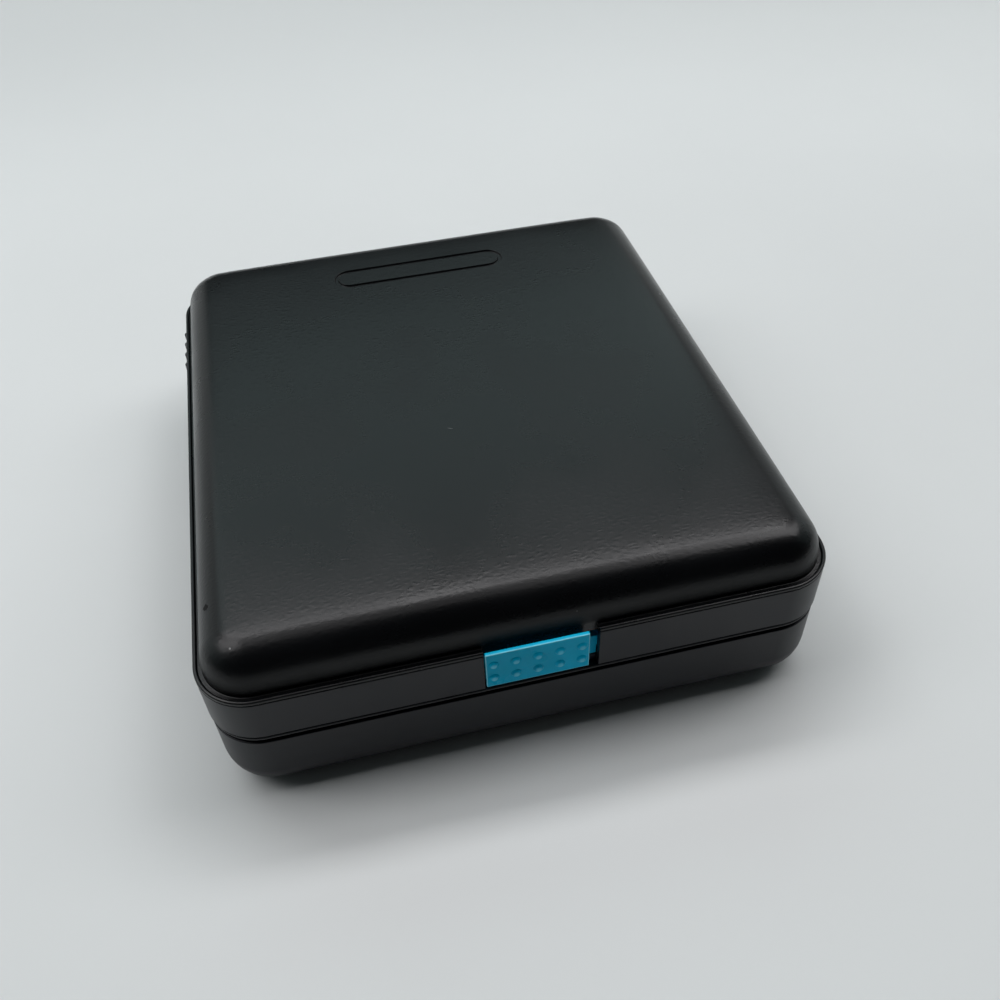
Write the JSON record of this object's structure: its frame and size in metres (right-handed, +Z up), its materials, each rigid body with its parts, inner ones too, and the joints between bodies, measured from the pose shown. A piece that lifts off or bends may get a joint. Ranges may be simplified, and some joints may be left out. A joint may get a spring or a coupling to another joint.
{
  "type": "cd wallet case",
  "caption": "Hinged hard case for discs with a slide latch at the front and clear-pocket leaves bound inside.",
  "frame": {"origin": "middle of the flat underside, on the surface that the case stands on", "axes": "+Z up; -Y towards the latch at the front; +X to the right seen from the front; +Y towards the hinge"},
  "size_m": [0.1522, 0.1751, 0.0492],
  "materials": {
    "case_plastic": "smooth satin moulding, near black",
    "cover_plastic": "fine leather grain, satin, near black",
    "latch_plastic": "smooth teal moulding",
    "inner_plastic": "black moulding",
    "strip_card": "black board",
    "sheet_fabric": "non-woven cloth, dark grey",
    "pocket_film": "clear soft film",
    "steel": "plain steel"
  },
  "bodies": {
    "base": {"base_shell": "case_plastic", "base_frame": "case_plastic", "base_screws": "steel", "hinge_pin_left": "steel", "hinge_pin_right": "steel", "latch_keeper": "inner_plastic", "keeper_screws": "steel", "leaf_stubs": "sheet_fabric", "guard_strips": "strip_card", "binder_bar": "inner_plastic", "binder_screws": "steel"},
    "lid": {"lid_cover": "cover_plastic", "lid_frame": "case_plastic", "lid_screws": "steel", "latch_guide": "inner_plastic", "guide_screws": "steel"},
    "latch": {"latch_slider": "latch_plastic"},
    "leaf_01": {"leaf_01_sheet": "sheet_fabric", "leaf_01_pockets": "pocket_film"},
    "leaf_02": {"leaf_02_sheet": "sheet_fabric", "leaf_02_pockets": "pocket_film"},
    "leaf_03": {"leaf_03_sheet": "sheet_fabric", "leaf_03_pockets": "pocket_film"},
    "leaf_04": {"leaf_04_sheet": "sheet_fabric", "leaf_04_pockets": "pocket_film"},
    "leaf_05": {"leaf_05_sheet": "sheet_fabric", "leaf_05_pockets": "pocket_film"},
    "leaf_06": {"leaf_06_sheet": "sheet_fabric", "leaf_06_pockets": "pocket_film"},
    "leaf_07": {"leaf_07_sheet": "sheet_fabric", "leaf_07_pockets": "pocket_film"},
    "leaf_08": {"leaf_08_sheet": "sheet_fabric", "leaf_08_pockets": "pocket_film"},
    "leaf_09": {"leaf_09_sheet": "sheet_fabric", "leaf_09_pockets": "pocket_film"},
    "leaf_10": {"leaf_10_sheet": "sheet_fabric", "leaf_10_pockets": "pocket_film"},
    "leaf_11": {"leaf_11_sheet": "sheet_fabric", "leaf_11_pockets": "pocket_film"},
    "leaf_12": {"leaf_12_sheet": "sheet_fabric", "leaf_12_pockets": "pocket_film"}
  },
  "joints": [
    {"name": "lid_hinge", "type": "hinge", "parent": "base", "child": "lid", "pos_m": [0, 0.087, 0.0246], "axis": [-1, 0, 0], "range_deg": [0, 180]},
    {"name": "latch_slide", "type": "slide", "parent": "lid", "child": "latch", "axis": [1, 0, 0], "range_m": [0, 0.002]},
    {"name": "leaf_01_turn", "type": "hinge", "parent": "base", "child": "leaf_01", "pos_m": [0, 0.06646, 0.00345], "axis": [-1, 0, 0], "range_deg": [0, 6]},
    {"name": "leaf_02_turn", "type": "hinge", "parent": "base", "child": "leaf_02", "pos_m": [0, 0.06646, 0.00493], "axis": [-1, 0, 0], "range_deg": [0, 12]},
    {"name": "leaf_03_turn", "type": "hinge", "parent": "base", "child": "leaf_03", "pos_m": [0, 0.06646, 0.00642], "axis": [-1, 0, 0], "range_deg": [0, 18]},
    {"name": "leaf_04_turn", "type": "hinge", "parent": "base", "child": "leaf_04", "pos_m": [0, 0.06646, 0.0079], "axis": [-1, 0, 0], "range_deg": [0, 24]},
    {"name": "leaf_05_turn", "type": "hinge", "parent": "base", "child": "leaf_05", "pos_m": [0, 0.06646, 0.00938], "axis": [-1, 0, 0], "range_deg": [0, 30]},
    {"name": "leaf_06_turn", "type": "hinge", "parent": "base", "child": "leaf_06", "pos_m": [0, 0.06646, 0.01087], "axis": [-1, 0, 0], "range_deg": [0, 36]},
    {"name": "leaf_07_turn", "type": "hinge", "parent": "base", "child": "leaf_07", "pos_m": [0, 0.06646, 0.01235], "axis": [-1, 0, 0], "range_deg": [0, 42]},
    {"name": "leaf_08_turn", "type": "hinge", "parent": "base", "child": "leaf_08", "pos_m": [0, 0.06646, 0.01383], "axis": [-1, 0, 0], "range_deg": [0, 48]},
    {"name": "leaf_09_turn", "type": "hinge", "parent": "base", "child": "leaf_09", "pos_m": [0, 0.06646, 0.01532], "axis": [-1, 0, 0], "range_deg": [0, 54]},
    {"name": "leaf_10_turn", "type": "hinge", "parent": "base", "child": "leaf_10", "pos_m": [0, 0.06646, 0.0168], "axis": [-1, 0, 0], "range_deg": [0, 60]},
    {"name": "leaf_11_turn", "type": "hinge", "parent": "base", "child": "leaf_11", "pos_m": [0, 0.06646, 0.01828], "axis": [-1, 0, 0], "range_deg": [0, 66]},
    {"name": "leaf_12_turn", "type": "hinge", "parent": "base", "child": "leaf_12", "pos_m": [0, 0.06646, 0.01977], "axis": [-1, 0, 0], "range_deg": [0, 72]}
  ],
  "couplings": [
    {"joint": "leaf_01_turn", "follows": "lid_hinge", "ratio": 0.033333},
    {"joint": "leaf_02_turn", "follows": "lid_hinge", "ratio": 0.066667},
    {"joint": "leaf_03_turn", "follows": "lid_hinge", "ratio": 0.1},
    {"joint": "leaf_04_turn", "follows": "lid_hinge", "ratio": 0.13333},
    {"joint": "leaf_05_turn", "follows": "lid_hinge", "ratio": 0.16667},
    {"joint": "leaf_06_turn", "follows": "lid_hinge", "ratio": 0.2},
    {"joint": "leaf_07_turn", "follows": "lid_hinge", "ratio": 0.23333},
    {"joint": "leaf_08_turn", "follows": "lid_hinge", "ratio": 0.26667},
    {"joint": "leaf_09_turn", "follows": "lid_hinge", "ratio": 0.3},
    {"joint": "leaf_10_turn", "follows": "lid_hinge", "ratio": 0.33333},
    {"joint": "leaf_11_turn", "follows": "lid_hinge", "ratio": 0.36667},
    {"joint": "leaf_12_turn", "follows": "lid_hinge", "ratio": 0.4}
  ]
}
